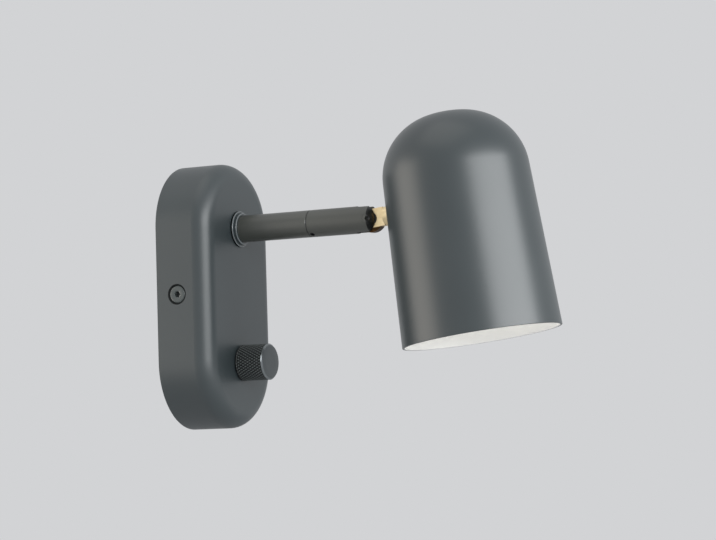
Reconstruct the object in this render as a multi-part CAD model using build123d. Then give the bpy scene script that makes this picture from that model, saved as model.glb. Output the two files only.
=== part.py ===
"""Bedside wall reading lamp: base with dimmer knob, swivelling arm, tilting domed shade.

Every piece is drawn in a working frame in which X runs to the right, Y runs up and Z runs out
of the wall, with the origin at the centre of the base's back. The pieces of the head are drawn
about the tilt pivot, with Y along the shade's axis and Z along the tongue. At the end each piece
is turned into the lamp's own frame: +Z up, the wall at y = 0 and the lamp reaching towards -Y.
All lengths are in millimetres and all angles in degrees.
"""
from build123d import *
import math
import os

# ---------------------------------------------------------------------------- driving sizes
# Base
base_height = 140.0
base_width = 70.0
base_depth = 30.5
base_edge_radius = 9.0
cover_wall = 2.0
cover_clearance = 0.4
plate_thickness = 2.0

# Wall plate
wall_screw_spacing = 60.0
wall_slot_width = 5.0
wall_slot_length = 10.0
cable_hole_radius = 7.0
cable_hole_below_terminals = 20.5
cable_radius = 4.0
grommet_flange = 2.5
grommet_lip = 1.5
tab_width = 16.0
tab_bend_radius = 0.8
tab_corner_radius = 4.0
tab_past_screw = 6.5
tab_hole_clearance = 0.5

# Cover screws, one each side
cover_screw_out = 12.0
cover_screw_radius = 2.5
cover_screw_head_radius = 4.75
cover_screw_sunk = 0.6
cover_screw_socket = 3.0
cover_screw_length = 12.0
clinch_nut_radius = 4.5
clinch_nut_length = 3.5

# Terminal block and earth screw
terminal_poles = 3
terminal_pitch = 9.0
terminal_height = 14.0
terminal_depth = 12.0
terminals_below_arm = 22.5
terminal_bore_radius = 1.7
terminal_screw_radius = 1.5
terminal_insert_radius = 2.5
terminal_wire_out = 5.5
terminal_notch = 1.2
earth_screw_radius = 2.0
earth_screw_from_edge = 12.6
earth_screw_drop = 20.0
earth_head_radius = 3.8
earth_head_height = 2.4
earth_washer_radius = 4.5
earth_washer_thickness = 0.8

# Arm
arm_radius = 7.1
arm_reach = 43.1
collar_radius = 9.5
collar_flange = 1.3
collar_step_radius = 8.4
collar_step = 1.5
collar_round = 0.5
nipple_radius = 5.0
nipple_bore = 3.4
nipple_length = 24.0
nipple_inside_cover = 9.0
arm_bore = 3.8
lock_washer_thickness = 0.8
lock_nut_thickness = 3.0
lock_nut_flats = 14.0

# Swivel in the arm
seam_washer = 0.4
seam_washer_inset = 0.3
seam_chamfer = 0.25
spigot_radius = 5.0
spigot_bore = 2.2
spigot_length = 13.5
spigot_thread_length = 12.0
swivel_limit = 160.0
swivel_at_rest = 1.1
stop_screw_radius = 1.3
stop_screw_dog_radius = 0.8
stop_screw_from_seam = 2.0
stop_screw_angle = 238.0
stop_groove_depth = 1.3
stop_groove_slack = 0.2
friction_ring_wire = 1.6
friction_ring_from_end = 3.0

# Fork and tongue
front_arm_length = 38.2
fork_dome_depth = 3.6
fork_slot_width = 5.2
fork_slot_depth = 11.2
pivot_from_tip = 3.0
front_arm_bore = 2.8
pivot_screw_radius = 1.5
pivot_head_radius = 2.6
pivot_head_height = 2.1
pivot_flush_inset = 0.05
pivot_socket = 2.0
tongue_thickness = 4.5
tongue_round_radius = 4.85
tongue_round_clearance = 0.5
friction_washer_thickness = 0.3
stub_radius = 3.0
stub_bore = 1.6
stub_length = 10.0
lead_channel_width = 2.4
lead_channel_height = 2.6
lead_channel_up = 3.1

# Head
head_tilt = 7.36
tongue_reach = 12.28
shade_drop = 70.6
shade_height = 115.7
shade_rim_radius = 40.7
shade_taper = 2.2
shade_wall = 1.2
shade_knuckle_radius = 32.5
shade_crown_radius = 64.4
saddle_radius = 7.0
saddle_thickness = 1.9
seat_gap = 0.1
bracket_thickness = 1.5
bracket_width = 14.0
bracket_foot = 8.0
bracket_knee = 8.0
bracket_reach_past_axis = 9.0
bracket_up = 27.0
bracket_elbow_from_axis = 18.0
bracket_bend = 3.0
shade_nut_flats = 10.0
shade_nut_thickness = 4.0

# Lamp holder and bulb
holder_radius = 13.5
holder_length = 35.0
holder_shoulder = 6.0
holder_socket_depth = 24.0
holder_nipple_length = 11.5
holder_nipple_in = 5.0
holder_top_radius = 9.5
holder_nut_thickness = 3.0
shell_bore = 7.25
shell_thickness = 0.5
shell_length = 20.0
shell_from_mouth = 2.0
contact_radius = 3.5
contact_thickness = 0.8
cap_radius = 6.95
cap_in_neck = 2.0
cap_cone = 2.5
cap_tip_radius = 2.4
cap_cone_radius = 3.4
cap_tip_length = 1.8
bulb_radius = 22.5
bulb_length = 78.0
bulb_neck_radius = 10.5
bulb_wall = 1.0
bulb_seat_gap = 0.5

# Dimmer and knob
knob_drop = 35.8
knob_radius = 9.55
knob_length = 16.1
knob_gap = 0.6
knob_chamfer = 0.8
knob_rear_chamfer = 0.4
knob_hollow_radius = 7.7
knob_hollow_depth = 4.9
dimmer_width = 26.0
dimmer_height = 28.0
dimmer_depth = 14.0
dimmer_edge = 1.2
bush_radius = 4.0
bush_length = 6.5
bush_seat = 2.0
shaft_radius = 3.0
shaft_length = 19.0
shaft_flat = 1.5
shaft_flat_length = 7.5
dimmer_washer_radius = 6.3
dimmer_washer_thickness = 0.6
dimmer_nut_flats = 11.0
dimmer_nut_thickness = 2.0

# Leads and clearances
lead_radius = 0.55
lead_spacing = 1.3
lead_bend = 8.0
lead_run = 5.0
lead_out_of_stub = 3.0
fit_clearance = 0.05
hole_clearance = 0.15
joint_gap = 0.3

# ------------------------------------------------------------------------- worked-out places
arm_up = (base_height - base_width) / 2
terminal_up = arm_up - terminals_below_arm
cable_hole_up = terminal_up - cable_hole_below_terminals
cover_inside = base_depth - cover_wall
seam_out = base_depth + arm_reach
front_arm_start = seam_out + seam_washer + fit_clearance
arm_tip = front_arm_start + front_arm_length
dome_start = arm_tip - fork_dome_depth
dome_radius = (arm_radius**2 + fork_dome_depth**2) / (2 * fork_dome_depth)
slot_end = arm_tip - fork_slot_depth
pivot_out = arm_tip - pivot_from_tip
eye_radius = arm_radius
stop_screw_out = front_arm_start + stop_screw_from_seam
plate_half_width = base_width / 2 - cover_wall - cover_clearance
plate_half_height = base_height / 2 - cover_wall - cover_clearance
earth_screw_across = plate_half_width - earth_screw_from_edge
shade_slope = math.tan(math.radians(shade_taper))
shade_radius_at_pivot = shade_rim_radius - shade_drop * shade_slope
shade_face = tongue_reach
shade_offset = shade_face + shade_radius_at_pivot
bracket_face = shade_face + shade_wall + saddle_thickness
stub_end = shade_face + stub_length
holder_top = bracket_up
holder_mouth = holder_top - holder_length
socket_floor = holder_mouth + holder_socket_depth
bulb_tip = socket_floor - contact_thickness - seat_gap
bulb_shoulder = holder_mouth - bulb_seat_gap
knob_rear = base_depth + knob_gap
knob_floor = knob_rear + knob_hollow_depth
spigot_end = seam_out + spigot_length
nipple_start = cover_inside - nipple_inside_cover
dome_centre = arm_tip - dome_radius
cheek_ahead = max(pivot_out - dome_centre, math.sqrt(dome_radius**2 - arm_radius**2))
cheek_half = math.sqrt(dome_radius**2 - cheek_ahead**2)
pivot_head_seat = pivot_head_height - cheek_half
lead_hole_up = socket_floor + 2.5


# -------------------------------------------------------------------------------- helpers
def rod(radius, start, end, across=0.0, up=0.0):
    """Round bar along Z, from one distance to another."""
    bar = Cylinder(radius, end - start, align=(Align.CENTER, Align.CENTER, Align.MIN))
    return Pos(across, up, start) * bar


def tube(radius, bore, start, end, across=0.0, up=0.0):
    """Round bar along Z with a through bore."""
    return rod(radius, start, end, across, up) - rod(bore, start, end, across, up)


def hexagon(flats, start, end, across=0.0, up=0.0):
    """Hexagonal bar along Z, measured across its flats."""
    outline = RegularPolygon(flats / 2, 6, major_radius=False)
    return Pos(across, up, start) * extrude(outline, end - start)


def nut(flats, bore, start, end, across=0.0, up=0.0):
    """Hexagonal nut whose corners are turned down to a chamfer on both faces."""
    blank = rod(flats * 0.57, start, end, across, up)
    rounded = chamfer(blank.edges().filter_by(GeomType.CIRCLE), (end - start) * 0.2)
    return (hexagon(flats, start, end, across, up) & rounded) - rod(bore, start, end, across, up)


def stadium(height, width, depth, edge_radius=0.0):
    """Upright stadium block from z = 0, with its front edge rounded if a radius is given."""
    block = extrude(SlotOverall(height, width, rotation=90), depth)
    if edge_radius > 0:
        block = fillet(block.faces().sort_by(Axis.Z)[-1].edges(), edge_radius)
    return block


def turned(points):
    """Solid turned about Z from a closed outline of (radius, height) points."""
    return revolve(Plane.XZ * make_face(Polyline(*points, close=True)), Axis.Z)


def lead_pair(across, points, bend):
    """Two insulated leads side by side, along (up, out) points joined by tangent arcs."""
    leads = []
    for offset in (-lead_spacing / 2, lead_spacing / 2):
        corners = [(across + offset, up, out) for up, out in points]
        route = FilletPolyline(*corners, radius=bend)
        start = Plane(origin=route @ 0, z_dir=route % 0)
        leads.append(sweep(start * Circle(lead_radius), path=route))
    return leads


# ------------------------------------------------------------------------- cover and plate
def on_side(side, piece):
    """Put a piece drawn along Z, outer face at z = 0, into the cover's side wall."""
    return Pos(side * base_width / 2, 0, cover_screw_out) * Rot(0, side * 90, 0) * piece


def countersink(mouth, shank):
    """Right-angled cone below z = 0, from its mouth down to the shank's radius."""
    return Cone(shank, mouth, mouth - shank, align=(Align.CENTER, Align.CENTER, Align.MAX))


def make_base_cover():
    """Deep stadium shell, open to the wall, with holes for arm, dimmer and side screws."""
    inner_height = base_height - 2 * cover_wall
    inner_width = base_width - 2 * cover_wall
    inner_edge = max(base_edge_radius - cover_wall, 0.5)
    cover = stadium(base_height, base_width, base_depth, base_edge_radius)
    cover -= stadium(inner_height, inner_width, cover_inside, inner_edge)
    cover -= rod(nipple_radius + hole_clearance, cover_inside, base_depth, up=arm_up)
    cover -= rod(bush_radius + hole_clearance, cover_inside, base_depth, up=-knob_drop)
    shank = cover_screw_radius + hole_clearance
    space = countersink(cover_screw_head_radius + cover_screw_sunk, shank)
    space += rod(shank, -2 * cover_wall, 0)
    for side in (-1, 1):
        cover -= on_side(side, space)
    return cover


def make_cover_screws():
    """Countersunk socket screws that hold the cover to the wall plate's tabs."""
    screw = countersink(cover_screw_head_radius, cover_screw_radius)
    screw += rod(cover_screw_radius, -cover_screw_length, 0)
    screw -= hexagon(cover_screw_socket, -cover_screw_radius, 0)
    screw = Pos(0, 0, -cover_screw_sunk) * screw
    return [on_side(side, screw) for side in (-1, 1)]


def make_tab(side):
    """Tab of the wall plate, bent forward along the cover's side wall."""
    half = plate_thickness / 2
    middle = side * (plate_half_width - half)
    root = side * (plate_half_width - tab_bend_radius - 2 * plate_thickness)
    top = cover_screw_out + tab_past_screw
    path = FilletPolyline((root, half), (middle, half), (middle, top), radius=tab_bend_radius + half)
    tab = extrude(Plane.XZ * trace(path, plate_thickness), tab_width / 2, both=True)
    tops = [edge_line for edge_line in tab.edges().filter_by(Axis.X) if edge_line.center().Z > top - 0.1]
    return fillet(tops, tab_corner_radius)


def make_wall_plate():
    """Steel plate with wall-screw slots, cable hole and two tabs bent forward for the cover."""
    plate = stadium(2 * plate_half_height, 2 * plate_half_width, plate_thickness)
    slot = extrude(SlotOverall(wall_slot_length, wall_slot_width, rotation=90), plate_thickness)
    for up in (-wall_screw_spacing / 2, wall_screw_spacing / 2):
        plate -= Pos(0, up, 0) * slot
    plate -= rod(cable_hole_radius, 0, plate_thickness, up=cable_hole_up)
    earth_hole = earth_screw_radius + fit_clearance
    plate -= rod(earth_hole, 0, plate_thickness, -earth_screw_across, -earth_screw_drop)
    relief = Box(2 * (tab_bend_radius + plate_thickness), tab_width, 3 * plate_thickness)
    for side in (-1, 1):
        plate -= Pos(side * plate_half_width, 0, 0) * relief
        plate += make_tab(side)
        plate -= on_side(side, rod(cover_screw_radius + tab_hole_clearance, -cover_screw_length, 0))
    return plate


def make_clinch_nuts():
    """Pressed-in nuts on the inner face of each tab."""
    face = -(cover_wall + cover_clearance + plate_thickness)
    bore = cover_screw_radius + fit_clearance
    piece = tube(clinch_nut_radius, bore, face - clinch_nut_length, face)
    return [on_side(side, piece) for side in (-1, 1)]


def make_cable_grommet():
    """Rubber bush that lines the cable hole, with its lip on the plate's front."""
    lip_top = plate_thickness + grommet_lip
    grommet = rod(cable_hole_radius - fit_clearance, 0, lip_top, up=cable_hole_up)
    grommet += rod(cable_hole_radius + grommet_flange, plate_thickness, lip_top, up=cable_hole_up)
    grommet = fillet(grommet.faces().sort_by(Axis.Z)[-1].edges(), grommet_lip * 0.4)
    return grommet - rod(cable_radius, 0, lip_top, up=cable_hole_up)


# ---------------------------------------------------------------------------- connections
def terminal_places():
    """Centre of each pole of the terminal block, across the plate."""
    first = -(terminal_poles - 1) * terminal_pitch / 2
    return [first + terminal_pitch * pole for pole in range(terminal_poles)]


def terminal_screw_places():
    """Two screws for each pole, above and below its middle."""
    quarter = terminal_height / 4
    return [(x, terminal_up + y) for x in terminal_places() for y in (-quarter, quarter)]


def lengthwise(radius, across, length):
    """Bar along Y through the terminal block, at the height of the wires."""
    bar = Rot(90, 0, 0) * Cylinder(radius, length)
    return Pos(across, terminal_up, plate_thickness + terminal_wire_out) * bar


def make_terminal_block():
    """Plastic block with a bore for each insert, screw wells and notches between the poles."""
    width = terminal_poles * terminal_pitch
    block = Box(width, terminal_height, terminal_depth, align=(Align.CENTER, Align.CENTER, Align.MIN))
    block = Pos(0, terminal_up, plate_thickness) * block
    front = plate_thickness + terminal_depth
    for across in terminal_places():
        block -= lengthwise(terminal_insert_radius + fit_clearance, across, terminal_height)
    for across in terminal_places()[1:]:
        for end in (-1, 1):
            notch = Box(terminal_notch, terminal_notch * 2, terminal_depth * 2)
            block -= Pos(across - terminal_pitch / 2, terminal_up + end * terminal_height / 2, front) * notch
    for across, up in terminal_screw_places():
        start = plate_thickness + terminal_wire_out
        block -= rod(terminal_screw_radius + hole_clearance, start, front, across, up)
    return block


def make_terminal_inserts():
    """Brass barrels that the wires go into."""
    inserts = []
    for across in terminal_places():
        barrel = lengthwise(terminal_insert_radius, across, terminal_height - 1.0)
        barrel -= lengthwise(terminal_bore_radius, across, terminal_height)
        for place, up in terminal_screw_places():
            if place == across:
                start = plate_thickness + terminal_wire_out
                end = start + 2 * terminal_insert_radius
                barrel -= rod(terminal_screw_radius + fit_clearance, start, end, across, up)
        inserts.append(barrel)
    return inserts


def make_terminal_screws():
    """Slotted clamping screws of the terminal block."""
    start = plate_thickness + terminal_wire_out + terminal_bore_radius * 0.5
    end = plate_thickness + terminal_depth - 1.0
    screws = []
    for across, up in terminal_screw_places():
        slot = Pos(across, up, end) * Box(3 * terminal_screw_radius, 0.6, 1.2)
        screws.append(rod(terminal_screw_radius, start, end, across, up) - slot)
    return screws


def make_earth_screw():
    """Pan-head screw of the earth connection."""
    seat = plate_thickness + earth_washer_thickness
    head = rod(earth_head_radius, seat, seat + earth_head_height)
    head = fillet(head.faces().sort_by(Axis.Z)[-1].edges(), earth_head_height * 0.4)
    screw = head + rod(earth_screw_radius, 0.2, seat)
    slot = Pos(0, 0, seat + earth_head_height) * Box(2 * earth_head_radius, 1.0, earth_head_height)
    return Pos(-earth_screw_across, -earth_screw_drop, 0) * (screw - slot)


def make_earth_washer():
    """Washer under the earth screw."""
    end = plate_thickness + earth_washer_thickness
    bore = earth_screw_radius + hole_clearance
    across = -earth_screw_across
    return tube(earth_washer_radius, bore, plate_thickness, end, across, -earth_screw_drop)


def make_arm_supply_leads():
    """Leads from the terminal block through nipple, arm and spigot."""
    top = terminal_up + terminal_height / 2 - 2.0
    out = plate_thickness + terminal_wire_out
    turn = arm_up - (nipple_start - 2.0 - out)
    points = [(top, out), (turn, out), (arm_up, nipple_start - 2.0), (arm_up, spigot_end)]
    return lead_pair(0, points, lead_bend)


def make_dimmer_leads():
    """Leads from the terminal block down to the dimmer."""
    out = plate_thickness + terminal_wire_out
    body_top = -knob_drop + dimmer_height / 2
    body_out = cover_inside - dimmer_depth / 2
    step = body_out - out
    points = [
        (terminal_up - terminal_height / 2 + 2.0, out),
        (body_top + lead_run + step, out),
        (body_top + lead_run, body_out),
        (body_top + 0.1, body_out),
    ]
    return lead_pair(terminal_places()[-1], points, lead_bend / 2)


# ------------------------------------------------------------------------------------- arm
def make_arm_collar():
    """Stepped rosette that covers the hole where the arm meets the base."""
    collar = rod(collar_radius, base_depth, base_depth + collar_flange, up=arm_up)
    step_top = base_depth + collar_flange + collar_step
    collar += rod(collar_step_radius, base_depth, step_top, up=arm_up)
    rims = [
        rim
        for rim in collar.edges().filter_by(GeomType.CIRCLE)
        if rim.center().Z > base_depth + 0.1 and rim.radius > collar_step_radius - 0.1
    ]
    rims = [rim for rim in rims if rim.center().Z > step_top - 0.1 or rim.radius > collar_radius - 0.1]
    collar = fillet(rims, collar_round)
    return collar - rod(arm_radius + fit_clearance, base_depth, step_top, up=arm_up)


def make_rear_arm_tube():
    """Outer tube from the base to the seam, bored for the nipple and for the spigot."""
    arm = tube(arm_radius, arm_bore, base_depth, seam_out, up=arm_up)
    arm -= rod(nipple_radius + fit_clearance, base_depth, nipple_start + nipple_length + 0.3, up=arm_up)
    arm -= rod(spigot_radius + fit_clearance, seam_out - spigot_thread_length - 0.3, seam_out, up=arm_up)
    seam_edge = [
        edge
        for edge in arm.edges().filter_by(GeomType.CIRCLE)
        if edge.center().Z > seam_out - 0.1 and edge.radius > arm_radius - 0.1
    ]
    return chamfer(seam_edge, seam_chamfer)


def make_arm_nipple():
    """Threaded tube that ties the arm to the cover and carries the leads."""
    end = nipple_start + nipple_length
    return tube(nipple_radius, nipple_bore, nipple_start, end, up=arm_up)


def make_arm_lock_washer():
    """Washer between the cover and the nipple's nut."""
    bore = nipple_radius + hole_clearance
    start = cover_inside - lock_washer_thickness
    return tube(lock_nut_flats / 2 + 1.5, bore, start, cover_inside, up=arm_up)


def make_arm_lock_nut():
    """Nut on the nipple inside the cover."""
    end = cover_inside - lock_washer_thickness
    start = end - lock_nut_thickness
    return nut(lock_nut_flats, nipple_radius + fit_clearance, start, end, up=arm_up)


def make_seam_washer():
    """Dark slip washer in the seam between the two parts of the arm."""
    outer = arm_radius - seam_washer_inset
    bore = spigot_radius + hole_clearance
    return tube(outer, bore, seam_out, seam_out + seam_washer, up=arm_up)


def make_swivel_spigot():
    """Turned pin fixed in the rear tube, with the stop groove and the friction ring's groove."""
    spigot = tube(spigot_radius, spigot_bore, seam_out - spigot_thread_length, spigot_end)
    width = 2 * (stop_screw_dog_radius + stop_groove_slack)
    floor = spigot_radius - stop_groove_depth
    outline = Pos(spigot_radius, stop_screw_out) * Rectangle(2 * stop_groove_depth, width)
    dog_angle = math.degrees(math.asin((stop_screw_dog_radius + stop_groove_slack) / floor))
    half_sweep = swivel_limit + dog_angle
    groove = revolve(Plane.XZ * outline, Axis.Z, 2 * half_sweep)
    spigot -= Rot(0, 0, stop_screw_angle - half_sweep) * groove
    centre = spigot_end - friction_ring_from_end
    half = friction_ring_wire / 2 + 0.1
    ring_floor = spigot_radius - friction_ring_wire
    spigot -= tube(spigot_radius + 1.0, ring_floor, centre - half, centre + half)
    return Pos(0, arm_up, 0) * spigot


def make_friction_ring():
    """Rubber ring in the spigot's groove that keeps the swivel where it is put."""
    ring = Torus(spigot_radius - friction_ring_wire / 2 + fit_clearance / 2, friction_ring_wire / 2)
    return Pos(0, arm_up, spigot_end - friction_ring_from_end) * ring


def stop_screw_axis(piece):
    """Put a piece drawn along Z, base on the arm's axis, along the stop screw's direction."""
    return Pos(0, arm_up, stop_screw_out) * Rot(0, 0, stop_screw_angle) * Rot(0, 90, 0) * piece


def fork_form(inset):
    """Outer form of the front arm, round with a domed tip, moved inwards by inset."""
    dome = Pos(0, 0, dome_centre) * Sphere(dome_radius - inset)
    nose = rod(arm_radius - inset, dome_start, arm_tip) & dome
    return rod(arm_radius - inset, front_arm_start, dome_start) + nose


def make_front_arm():
    """Swivelling part of the arm: bored, domed at its tip and slotted for the tongue."""
    arm = fork_form(0)
    seam_edge = arm.faces().sort_by(Axis.Z)[0].edges()
    arm = chamfer(seam_edge, seam_chamfer)
    arm -= rod(spigot_radius + fit_clearance, front_arm_start, spigot_end + joint_gap)
    arm -= rod(front_arm_bore, front_arm_start, slot_end)
    slot = Box(fork_slot_width, 3 * arm_radius, 2 * fork_slot_depth)
    arm -= Pos(0, 0, slot_end + fork_slot_depth) * slot
    shank = pivot_screw_radius + fit_clearance
    arm -= on_pivot(rod(shank, -arm_radius, arm_radius))
    arm -= on_pivot(rod(pivot_head_radius + fit_clearance, -2 * arm_radius, pivot_head_seat))
    arm = Pos(0, arm_up, 0) * arm
    return arm - stop_screw_axis(rod(stop_screw_radius + fit_clearance, spigot_radius - 1.0, 2 * arm_radius))


def on_pivot(piece):
    """Put a piece drawn along Z across the arm at the tilt pivot."""
    return Pos(0, 0, pivot_out) * Rot(0, 90, 0) * piece


def make_stop_screw():
    """Grub screw whose dog point rides in the spigot's stop groove."""
    top = math.sqrt(arm_radius**2 - stop_screw_radius**2) - 0.1
    shoulder = spigot_radius + fit_clearance
    tip = spigot_radius - stop_groove_depth + stop_groove_slack
    screw = rod(stop_screw_radius, shoulder, top) + rod(stop_screw_dog_radius, tip, shoulder)
    screw -= hexagon(stop_screw_radius, top - 0.9, top)
    return stop_screw_axis(screw)


def make_pivot_screw():
    """Shoulder screw through both cheeks and the tongue, its ends trimmed to the arm's form."""
    screw = rod(pivot_head_radius, -arm_radius, pivot_head_seat)
    screw += rod(pivot_screw_radius, pivot_head_seat, arm_radius)
    screw -= hexagon(pivot_socket, -arm_radius, pivot_head_seat - pivot_head_height * 0.4)
    return Pos(0, arm_up, 0) * (on_pivot(screw) & fork_form(pivot_flush_inset))


def make_friction_washers():
    """Thin washers on the cheeks, each side of the tongue."""
    outer = pivot_screw_radius + 2.0
    bore = pivot_screw_radius + hole_clearance
    face = fork_slot_width / 2
    pieces = []
    for start in (-face, face - friction_washer_thickness):
        washer = tube(outer, bore, start, start + friction_washer_thickness)
        pieces.append(Pos(0, arm_up, 0) * on_pivot(washer))
    return pieces


def make_arm_leads():
    """Leads in the front arm, from the spigot to the slot."""
    leads = []
    for offset in (-lead_spacing / 2, lead_spacing / 2):
        leads.append(rod(lead_radius, spigot_end + joint_gap, slot_end - joint_gap, offset, arm_up))
    return leads


# ------------------------------------------------------------------------------------ knob
def make_dimmer_body():
    """Rotary dimmer behind the cover's front, recessed for its bush and shaft."""
    block = Box(dimmer_width, dimmer_height, dimmer_depth, align=(Align.CENTER, Align.CENTER, Align.MAX))
    block = fillet(block.edges().filter_by(Axis.Z), dimmer_edge)
    block = Pos(0, -knob_drop, cover_inside) * block
    block -= rod(bush_radius + fit_clearance, cover_inside - bush_seat, cover_inside, up=-knob_drop)
    shaft_start = shaft_end() - shaft_length
    return block - rod(shaft_radius + joint_gap, shaft_start - joint_gap, cover_inside, up=-knob_drop)


def shaft_end():
    """Distance of the shaft's front end, its flat starting just behind the knob's bore."""
    return knob_floor + shaft_flat_length - 0.5


def make_dimmer_bush():
    """Threaded bush that carries the shaft and holds the dimmer to the cover."""
    start = cover_inside - bush_seat
    end = cover_inside + bush_length
    return tube(bush_radius, shaft_radius + fit_clearance, start, end, up=-knob_drop)


def make_dimmer_washer():
    """Washer on the cover under the dimmer's nut."""
    end = base_depth + dimmer_washer_thickness
    return tube(dimmer_washer_radius, bush_radius + hole_clearance, base_depth, end, up=-knob_drop)


def make_dimmer_nut():
    """Nut on the bush, inside the knob's hollow."""
    start = base_depth + dimmer_washer_thickness
    end = start + dimmer_nut_thickness
    return nut(dimmer_nut_flats, bush_radius + fit_clearance, start, end, up=-knob_drop)


def flat_shaft(radius, start, flat_start, end):
    """Shaft along Z with a flat on its upper side from one distance on."""
    cut = Pos(0, radius - shaft_flat / 2, (flat_start + end) / 2) * Box(
        2 * radius, shaft_flat, end - flat_start
    )
    return Pos(0, -knob_drop, 0) * (rod(radius, start, end) - cut)


def make_dimmer_shaft():
    """Shaft between dimmer and knob, flatted where the knob sits."""
    end = shaft_end()
    return flat_shaft(shaft_radius, end - shaft_length, end - shaft_flat_length, end)


def make_knob():
    """Turned knob: chamfered at both ends, hollow behind, with a flatted bore for the shaft."""
    end = knob_rear + knob_length
    knob = rod(knob_radius, knob_rear, end, up=-knob_drop)
    knob = chamfer(knob.faces().sort_by(Axis.Z)[-1].edges(), knob_chamfer)
    knob = chamfer(knob.faces().sort_by(Axis.Z)[0].edges(), knob_rear_chamfer)
    knob -= rod(knob_hollow_radius, knob_rear, knob_floor, up=-knob_drop)
    bore = shaft_radius + fit_clearance
    return knob - flat_shaft(bore, knob_floor, knob_floor, shaft_end() + fit_clearance)


# ------------------------------------------------------------------------------------ head
# Drawn about the tilt pivot: X across, Y up along the shade's axis, Z out along the tongue.
def on_shade_axis(piece):
    """Put a piece drawn along Z, pivot level at z = 0, on the shade's axis."""
    return Pos(0, 0, shade_offset) * Rot(-90, 0, 0) * piece


def place_swivelling(piece):
    """Turn a piece about the arm's axis to where the swivel stands at rest."""
    return Pos(0, arm_up, 0) * Rot(0, 0, swivel_at_rest) * Pos(0, -arm_up, 0) * piece


def place_head(piece):
    """Move a piece of the head from the pivot's frame to its place on the arm."""
    return place_swivelling(Pos(0, arm_up, pivot_out) * Rot(-head_tilt, 0, 0) * piece)


def shade_solid(inset, below=0.0):
    """Solid inside the shade's outline, moved inwards by inset and lengthened below the rim.

    The outline is a straight taper, then a knuckle arc tangent to it, then a crown arc tangent
    to the knuckle and square to the axis. The knuckle's centre keeps its radius from the taper
    and the difference of the two radii from the crown's centre, which gives a quadratic.
    """
    angle = math.radians(shade_taper)
    rim = -shade_drop
    crown_up = rim + shade_height - shade_crown_radius
    reach = shade_rim_radius + rim * shade_slope - shade_knuckle_radius / math.cos(angle)
    a = 1 + shade_slope**2
    b = -2 * (reach * shade_slope + crown_up)
    c = reach**2 + crown_up**2 - (shade_crown_radius - shade_knuckle_radius) ** 2
    knuckle_up = (-b + math.sqrt(b**2 - 4 * a * c)) / (2 * a)
    knuckle_across = reach - knuckle_up * shade_slope
    turn = math.degrees(math.atan2(knuckle_up - crown_up, knuckle_across))
    knuckle_radius = shade_knuckle_radius - inset
    crown_radius = shade_crown_radius - inset
    knuckle = CenterArc((knuckle_across, knuckle_up), knuckle_radius, shade_taper, turn - shade_taper)
    crown = CenterArc((0, crown_up), crown_radius, turn, 90 - turn)
    foot = rim - below
    foot_radius = shade_rim_radius - inset / math.cos(angle) + below * shade_slope
    outline = [
        Line((0, foot), (foot_radius, foot)),
        Line((foot_radius, foot), knuckle @ 0),
        knuckle,
        crown,
        Line(crown @ 1, (0, foot)),
    ]
    return on_shade_axis(revolve(Plane.XZ * make_face(outline), Axis.Z))


def make_shade():
    """Spun shade: tapered skirt and dome in one even wall, open below, drilled for the tongue."""
    shade = shade_solid(0) - shade_solid(shade_wall, below=1.0)
    hole = rod(stub_radius + hole_clearance, shade_face - 1.0, bracket_face)
    return shade - hole


def make_tongue():
    """Brass tongue: eye on the pivot, flat on top, round shank to the shade, threaded stub."""
    seat = shade_face + shade_wall
    eye = extrude(Plane.YZ * Circle(eye_radius), tongue_thickness / 2, both=True)
    eye -= Pos(0, tongue_round_radius + eye_radius, 0) * Box(tongue_thickness, 2 * eye_radius, 2 * eye_radius)
    round_start = eye_radius + tongue_round_clearance
    flat = Pos(0, 0, round_start / 2) * Box(tongue_thickness, 2 * tongue_round_radius, round_start)
    tongue = eye + flat + rod(tongue_round_radius, round_start, seat)
    tongue -= shade_solid(-seat_gap)
    tongue += rod(stub_radius, round_start, stub_end)
    tongue -= on_head_pivot(rod(pivot_screw_radius + fit_clearance, -arm_radius, arm_radius))
    low = lead_channel_up - lead_channel_height / 2
    channel_end = round_start + 1.5
    channel = Box(lead_channel_width, lead_channel_height, channel_end + eye_radius)
    tongue -= Pos(0, lead_channel_up, (channel_end - eye_radius) / 2) * channel
    drop = low + stub_bore
    pocket_start = pivot_screw_radius + 1.2
    pocket = Box(lead_channel_width, drop, channel_end - pocket_start)
    tongue -= Pos(0, low - drop / 2, (channel_end + pocket_start) / 2) * pocket
    return tongue - rod(stub_bore, channel_end - 0.5, stub_end)


def on_head_pivot(piece):
    """Put a piece drawn along Z across the head at the pivot."""
    return Rot(0, 90, 0) * piece


def make_saddle_washer():
    """Washer inside the shade, curved to its wall and flat towards the bracket."""
    washer = tube(saddle_radius, stub_radius + hole_clearance, shade_face, bracket_face)
    return washer & shade_solid(shade_wall + seat_gap)


def make_holder_bracket():
    """Bent strip from the tongue's stub to the lamp holder's nipple on the shade's axis."""
    half = bracket_thickness / 2
    path = FilletPolyline(
        (bracket_face + half, -bracket_foot),
        (bracket_face + half, bracket_knee),
        (shade_offset - bracket_elbow_from_axis, bracket_up + half),
        (shade_offset + bracket_reach_past_axis, bracket_up + half),
        radius=bracket_bend,
    )
    side_view = Plane(origin=(0, 0, 0), x_dir=(0, 0, 1), z_dir=(-1, 0, 0))
    strip = extrude(side_view * trace(path, bracket_thickness), bracket_width / 2, both=True)
    strip -= rod(stub_radius + hole_clearance, bracket_face - 1.0, bracket_face + 2 * bracket_thickness)
    hole = rod(nipple_radius + hole_clearance, bracket_up - 1.0, bracket_up + 2 * bracket_thickness)
    return strip - on_shade_axis(hole)


def make_shade_nut():
    """Nut on the tongue's stub that clamps bracket, saddle washer and shade."""
    start = bracket_face + bracket_thickness
    return nut(shade_nut_flats, stub_radius + fit_clearance, start, start + shade_nut_thickness)


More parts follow.
